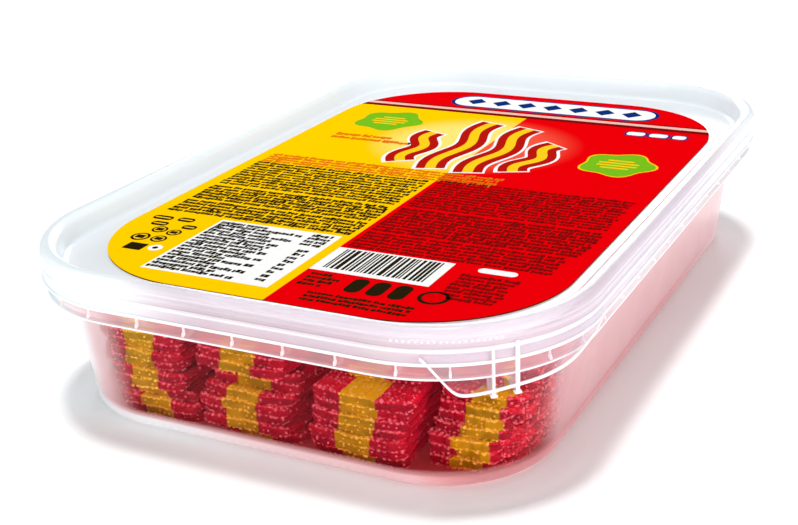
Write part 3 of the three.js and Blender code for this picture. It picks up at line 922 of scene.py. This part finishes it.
def make_panels(rng, black, white, lemon, red):
    """A white table, a panel of plain upright bars, and a few plain marks."""
    white.bar(-29.6, -68.2, -1.9, -40.4, 1)
    rows_of_bars(rng, black, -29.2, -8.2, -41.0, 17, 1.56, 1.15,
                 lambda row: 0.56 + 0.4 * abs(math.sin(row * 1.7)), 2)
    rows_of_bars(rng, black, -8.0, -2.4, -41.2, 4, 1.66, 1.15, lambda row: 0.95, 2)
    rows_of_bars(rng, black, -6.4, -3.0, -49.5, 9, 1.9, 1.15, lambda row: 0.8, 2)
    white.bar(0.4, -57.4, 24.6, -45.6, 1)
    x = 2.4
    while x < 22.6:
        width = rng.choice([0.32, 0.32, 0.6, 0.9])
        black.bar(x, -55.9, x + width, -46.2, 2)
        x += width + rng.choice([0.24, 0.34, 0.5])
    white.add(rounded_box((33.4, -46.9), (3.8, 1.1), 1.1), 1)
    for x, y, radius in ((-38.4, -49.8, 1.7), (-34.6, -50.4, 1.6), (-39.6, -54.6, 2.0), (-35.4, -54.4, 1.7)):
        black.add(disc((x, y), radius), 1)
        lemon.add(disc((x, y), radius * 0.72), 2)
        black.bar(x - radius * 0.5, y - radius * 0.4, x + radius * 0.5, y + radius * 0.4, 3)
    for x, y, half in ((-42.0, -43.6, 2.3), (-36.6, -43.2, 1.9), (-33.4, -46.8, 1.6),
                       (-40.6, -46.8, 1.9)):
        black.add(rounded_box((x, y), (half, 1.1), 0.9), 1)
        lemon.add(rounded_box((x, y), (half - 0.4, 0.25), 0.2), 2)
    black.add(rounded_box((-37.3, -59.4), (2.1, 1.7), 0.3), 1)
    white.add(disc((-33.0, -58.8), 1.5), 1)
    black.add(disc((-33.0, -58.8), 0.6), 2)
    for x in (12.6, 16.9, 21.2):
        black.add(rounded_box((x, -61.6), (1.6, 3.2), 1.5), 1)
    black.add(disc((27.6, -61.6), 2.9), 1)
    red.add(disc((27.6, -61.6), 2.1), 2)


# The belts
class Belt:
    """One ribbed, wavy belt that keeps to its solid. s runs across it and r up it, each from -1 to 1."""

    def __init__(self, node, layer, rng):
        points = np.array([v.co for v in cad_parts[node].data.vertices]) / MM
        places = np.unique(np.round(points[:, 1], 3))
        rings = [points[np.abs(points[:, 1] - y) < 0.01] for y in places]
        self.path_y = places
        self.left = np.array([ring[:, 0].min() for ring in rings])
        self.right = np.array([ring[:, 0].max() for ring in rings])
        self.height = np.array([(ring[:, 2].min() + ring[:, 2].max()) / 2 for ring in rings])
        self.near, self.far = places[0], places[-1]
        self.rib_phase = math.pi * layer + rng.normal(0, 0.4)
        self.edge_waves = rng.uniform(0, 2 * math.pi, (2, 4))
        self.end_waves = rng.uniform(0, 2 * math.pi, (2, 4))
        self.swell = rng.uniform(0, 2 * math.pi, 4)
        self.stripe = (rng.normal(0, 0.03), YELLOW_SHARE)

    def stripe_place(self, s):
        """How far across a point lies as the stripes are counted: the yellow one reaches to YELLOW_SHARE."""
        centre, half = self.stripe
        return (s - centre) / half * YELLOW_SHARE

    def edge(self, y, side):
        """How far a side edge strays inwards from the solid's, in and out in lumps."""
        a, b, c, d = self.edge_waves[side]
        lumps = 0.26 * np.sin(y / 2.9 + a) + 0.16 * np.sin(y / 1.25 + b) + 0.1 * np.sin(y / 0.6 + c)
        return 0.5 + lumps + 0.2 * np.sin(y / 9.0 + d)

    def end_shape(self, s, end):
        """How far a cut end lies inside the solid's end: wavy, with round corners."""
        a, b, c = self.end_waves[end][:3]
        waves = 0.28 * np.sin(s * 3.1 + a) + 0.16 * np.sin(s * 8.3 + b) + 0.07 * np.sin(s * 23 + c)
        return 0.55 + waves + 1.3 * np.abs(s) ** 9

    def point(self, s, r, y):
        """The surface point above or below, or at the side, at a place along the belt."""
        s, r, y = np.broadcast_arrays(s, r, y)
        left = np.interp(y, self.path_y, self.left) + self.edge(y, 0)
        right = np.interp(y, self.path_y, self.right) - self.edge(y, 1)
        middle, half = (left + right) / 2, (right - left) / 2
        x = middle + s * (half - SIDE_ROUND * r * r * np.abs(s) ** 10)
        inward = 1 - np.abs(s) ** 16
        rib = RIB_HEIGHT * np.cos(x / RIB_PITCH * 2 * math.pi + self.rib_phase) * inward
        uneven = 0.035 * np.sin(x * 0.9 + y * 0.5 + self.swell[0]) * np.sin(y * 0.8 + self.swell[1])
        thick = (BELT_HALF_THICKNESS + uneven) * (1 - 0.3 * np.abs(s) ** 14) + rib
        close = np.minimum(y - self.near, self.far - y)
        thick = thick * (1 - 0.14 * np.exp(-np.maximum(close, 0) / 0.25))
        z = np.interp(y, self.path_y, self.height) + r * thick
        return np.stack([x, y, z], -1)

    def body(self, s, r, along):
        """The surface at a distance from the near end, with the wavy ends eased in."""
        length = self.far - self.near
        near = self.end_shape(s, 0) * np.exp(-along / 2.5)
        far = self.end_shape(s, 1) * np.exp(-(length - along) / 2.5)
        return self.point(s, r, self.near + along + near - far)

    def cut(self, s, r, end):
        """The cut face at the near end, 0, or the far end, 1, bulging a little."""
        length = self.far - self.near
        s, r = np.broadcast_arrays(s, r)
        face = self.body(s, r, np.full(s.shape, 0.0 if end == 0 else length))
        bulge = 0.16 * (1 - r * r) + 0.04 * np.sin(s * 31 + r * 5 + self.swell[2])
        face[..., 1] += bulge * (-1 if end == 0 else 1)
        return face


# Places up a belt's section, and across it, where they are closer together at the edges
SECTION_ROWS = np.array([1.0, 0.62, 0.0, -0.62, -1.0])
ACROSS_PLACES = np.concatenate([[-1, -0.99], np.linspace(-0.965, 0.965, 76), [0.99, 1]])


def along_places(length, step):
    """Places along a belt, closer together at its ends."""
    start = np.array([0, 0.1, 0.3, 0.6, 1.0, 1.6, 2.4, 3.4, 4.8, 6.6])
    count = int((length - 2 * start[-1]) / step)
    return np.concatenate([start, np.linspace(start[-1], length - start[-1], count + 1)[1:-1],
                           length - start[::-1]])


def make_belt(belt, node, step, bare, inner_sides, candy):
    """A belt's skin: a tube of rings with a grid over each cut end. Its first bare millimetres stick out, and
    their tops carry painted light.
    """
    n, m = len(ACROSS_PLACES), len(SECTION_ROWS)
    grid_s, grid_r = np.meshgrid(ACROSS_PLACES, SECTION_ROWS)
    index = np.arange(n * m).reshape(m, n)
    loop = np.concatenate([index[0], index[1:-1, -1], index[-1, ::-1], index[-2:0:-1, 0]])
    along = along_places(belt.far - belt.near, step)
    loop_s, loop_r = grid_s.ravel()[loop], grid_r.ravel()[loop]
    rings = belt.body(loop_s[None], loop_r[None], along[:, None])
    count = len(loop)
    points = [rings.reshape(-1, 3)]
    faces = [grid_faces(len(along), count, wrap_columns=True)[:, ::-1]]
    across = [np.tile(loop_s, len(along))]
    # The sides between two columns are painted dark like cut faces, as shade, are hardly sugared, and get a
    # weaker painted light
    inner_side = np.isin(np.sign(loop_s) * (np.abs(loop_s) > 0.98), inner_sides)
    cut = [np.tile(inner_side * 0.85, len(along))]
    # The bare tops are marked for painted light and glow
    bare_top = (loop_r > 0.5) * np.clip((bare + 0.6 - along[:, None]) / 1.2, 0, 1)
    painted_light_mask = [np.maximum(bare_top, inner_side[None] * 0.4).ravel()]
    total = len(along) * count
    inside = index[1:-1, 1:-1].ravel()
    for end in (0, 1):
        numbers = np.empty(n * m, int)
        numbers[loop] = np.arange(count) + (0 if end == 0 else (len(along) - 1) * count)
        numbers[inside] = total + np.arange(len(inside))
        total += len(inside)
        points.append(belt.cut(grid_s.ravel()[inside], grid_r.ravel()[inside], end))
        across.append(grid_s.ravel()[inside])
        cut.append(np.ones(len(inside)))
        painted_light_mask.append(np.zeros(len(inside)))
        face = numbers[grid_faces(m, n)]
        faces.append(face if end == 1 else face[:, ::-1])
    new_piece(f"sour_{node}", np.concatenate(points), faces, candy, [node], None,
              {"across": belt.stripe_place(np.concatenate(across)), "cut": np.concatenate(cut),
               "bare": np.concatenate(painted_light_mask)})


# Sugar
OPEN_FACE_CRYSTALS = 2700


def crystals(rng, centres, sizes):
    """Uneven little blocks as (points, faces)."""
    cube = np.array([(x, y, z) for x in (-1, 1) for y in (-1, 1) for z in (-1, 1)]) * 0.5
    sides = np.array([(0, 1, 3, 2), (4, 6, 7, 5), (0, 4, 5, 1), (2, 3, 7, 6), (0, 2, 6, 4), (1, 5, 7, 3)])
    count = len(centres)
    turns = rng.normal(size=(count, 4))
    turns /= np.linalg.norm(turns, axis=1, keepdims=True)
    w, x, y, z = turns.T
    spin = np.stack([
        1 - 2 * (y * y + z * z), 2 * (x * y - z * w), 2 * (x * z + y * w),
        2 * (x * y + z * w), 1 - 2 * (x * x + z * z), 2 * (y * z - x * w),
        2 * (x * z - y * w), 2 * (y * z + x * w), 1 - 2 * (x * x + y * y),
    ], -1).reshape(count, 3, 3)
    blocks = cube[None] * rng.uniform(0.7, 1.2, (count, 1, 3)) + rng.uniform(-0.13, 0.13, (count, 8, 3))
    blocks = blocks * sizes[:, None, None]
    points = np.einsum("nij,nkj->nki", spin, blocks) + centres[:, None]
    return points.reshape(-1, 3), repeated([sides], count, 8)


def crest_places(belt, end):
    """How far across the belt each rib crest lies at one end."""
    middle = (belt.right[-end] + belt.left[-end]) / 2
    half = (belt.right[-end] - belt.left[-end]) / 2 - 0.5
    turns = np.arange(-60, 60) - belt.rib_phase / (2 * math.pi)
    crest = (turns * RIB_PITCH - middle) / half
    return crest[np.abs(crest) < 0.98]


def sugar_places(rng, belt, layer, column, bare):
    """Where the sugar sits on one belt: points, sizes and places across."""
    length = belt.far - belt.near
    spots, sizes, across = [], [], []

    def put(points, s, low, high):
        spots.append(points)
        sizes.append(rng.uniform(low, high, len(points)))
        across.append(np.broadcast_to(belt.stripe_place(s), len(points)))

    for end in (0, 1):
        crest = crest_places(belt, end)
        for r, share, high in ((-0.92, 0.8, 0.46), (0.92, 0.85, 0.5), (0.05, 0.35, 0.38)):
            s = crest[rng.random(len(crest)) < share]
            s = s + rng.normal(0, 0.012, len(s))
            put(belt.cut(s, r + rng.normal(0, 0.06, len(s)), end), s, 0.24, high)
        for r in (-0.95, 0.95):
            s = rng.uniform(-1, 1, 34)
            s = s[np.sin(s * 5 + rng.uniform(0, 6)) > -0.3]
            put(belt.cut(s, r + rng.normal(0, 0.04, len(s)), end), s, 0.2, 0.4)
        count = 46
        s = rng.choice(crest, count) + rng.normal(0, 0.012, count)
        along = rng.uniform(0, 1, count) ** 1.5 * 2.0
        r = rng.choice([-1.0, 1.0], count)
        put(belt.body(s, r, along if end == 0 else length - along), s, 0.25, 0.45)
    if bare > 1:
        count = int(bare * 16)
        s = rng.choice(crest_places(belt, 0), count) + rng.normal(0, 0.02, count)
        put(belt.body(s, 1.0, rng.uniform(0, bare, count)), s, 0.2, 0.36)
    for side, outer in ((-1.0, column == "left"), (1.0, column == "right")):
        reach = length if outer else 22
        count = int(reach * (2.6 if outer else 0.6))
        along = rng.uniform(0, reach, count)
        if not outer:
            along = np.where(rng.random(count) < 0.3, length - along, along)
        s = side * (1 - 0.06 * rng.random(count) ** 3)
        put(belt.body(s, rng.uniform(-1, 1, count), along), s, 0.22, 0.42)
    for r, open_face in ((-1.0, layer == 0), (1.0, layer == LAYERS - 1)):
        if open_face:
            s = rng.uniform(-1, 1, OPEN_FACE_CRYSTALS)
            put(belt.body(s, r, rng.uniform(0, length, OPEN_FACE_CRYSTALS)), s, 0.32, 0.6)
    return np.concatenate(spots), np.concatenate(sizes), np.concatenate(across)


def make_belts():
    candy = candy_material()
    sugar = sugar_material()
    for number, column in enumerate(COLUMNS):
        rng = np.random.default_rng(SEED + number)
        inner_sides = {"left": [1], "right": [-1]}.get(column, [-1, 1])
        nodes = [f"belt_{column}_{layer + 1:02d}" for layer in range(LAYERS)]
        belts = [Belt(node, layer, rng) for layer, node in enumerate(nodes)]
        spots, sizes, across = [], [], []
        for layer, (node, belt) in enumerate(zip(nodes, belts)):
            if column == "right":
                belt.stripe = RIGHT_STRIPE if layer < WIDE_STRIPE_LAYERS else RIGHT_UPPER_STRIPE
            open_face = layer in (0, LAYERS - 1)
            bare = 0 if layer == LAYERS - 1 else belts[layer + 1].near - belt.near
            make_belt(belt, node, 2.0 if open_face else 4.0, bare, inner_sides, candy)
            for group, values in zip((spots, sizes, across), sugar_places(rng, belt, layer, column, bare)):
                group.append(values)
        points, faces = crystals(rng, np.concatenate(spots), np.concatenate(sizes))
        tint = rng.random(len(points) // 8)
        values = {"across": np.repeat(np.concatenate(across), 8), "tint": np.repeat(tint, 8)}
        new_piece(f"sour_sugar_{column}", points, faces, sugar, (), 30, values)


# Floor, light and camera, in metres
FLOOR_HALF = 4.0
WORLD_LIGHT = 0.4


def make_floor():
    mesh = bpy.data.meshes.new("floor")
    corners = [(x * FLOOR_HALF, y * FLOOR_HALF, 0) for x, y in ((-1, -1), (1, -1), (1, 1), (-1, 1))]
    mesh.from_pydata(corners, [], [(0, 1, 2, 3)])
    mesh.materials.append(floor_material())
    new_object("floor", mesh)


def soft_light(name, place, target, size, power, colour=(1, 1, 1)):
    data = bpy.data.lights.new(name, "AREA")
    data.shape = "RECTANGLE"
    data.size, data.size_y = size
    data.energy = power
    data.color = colour
    light = new_object(name, data)
    light.location = place
    light.rotation_euler = (Vector(target) - Vector(place)).to_track_quat("-Z", "Y").to_euler()


def make_light():
    world = bpy.data.worlds.new("studio")
    bpy.context.scene.world = world
    world.use_nodes = True
    background = world.node_tree.nodes["Background"]
    background.inputs["Color"].default_value = (1, 1, 1, 1)
    background.inputs["Strength"].default_value = WORLD_LIGHT
    middle = (0, 0, 0.015)
    soft_light("key", (-0.05, -0.05, 2.2), middle, (0.35, 0.35), 30.0)
    soft_light("front", (0.16, -0.85, 0.06), (0, -0.05, 0.015), (0.5, 0.09), 3.9)
    soft_light("right", (0.82, -0.3, 0.06), (0, 0, 0.015), (0.4, 0.09), 5.0)
    soft_light("left", (-0.8, -0.3, 0.08), (0, 0, 0.015), (0.4, 0.12), 0.8, (0.93, 0.97, 1.0))
    soft_light("back", (-0.35, 0.8, 0.3), middle, (0.5, 0.3), 2.6, (0.92, 0.97, 1.0))


def make_camera():
    data = bpy.data.cameras.new("photo_camera")
    data.sensor_width = SENSOR_WIDTH
    data.lens = FOCAL_PIXELS / PHOTO_WIDTH * SENSOR_WIDTH
    data.clip_start, data.clip_end = 0.01, 20
    camera = new_object("photo_camera", data)
    matrix = Matrix.Translation(Vector(CAMERA_PLACE) * MM)
    for angle, axis in ((CAMERA_AZIMUTH, "Z"), (90 - CAMERA_ELEVATION, "X"), (CAMERA_ROLL, "Z")):
        matrix = matrix @ Matrix.Rotation(math.radians(angle), 4, axis)
    camera.matrix_world = matrix
    bpy.context.scene.camera = camera


make_camera()
make_light()
make_floor()
# The tub's pink and the lid's lavender thin colours are painted light from the red belts inside
tub_plastic = clear_plastic("clear_tub", 0.0, 6.0, (0.95, 0.67, 0.69))
make_tub(tub_plastic)
make_tub_ribs(tub_plastic)
make_lid(clear_plastic("clear_lid", 0.02, 5.0, (0.7, 0.64, 0.72)))
make_label()
make_belts()
bpy.context.scene.view_settings.view_transform = "Standard"
bpy.context.scene.cycles.transparent_max_bounces = 40

bpy.context.view_layer.update()
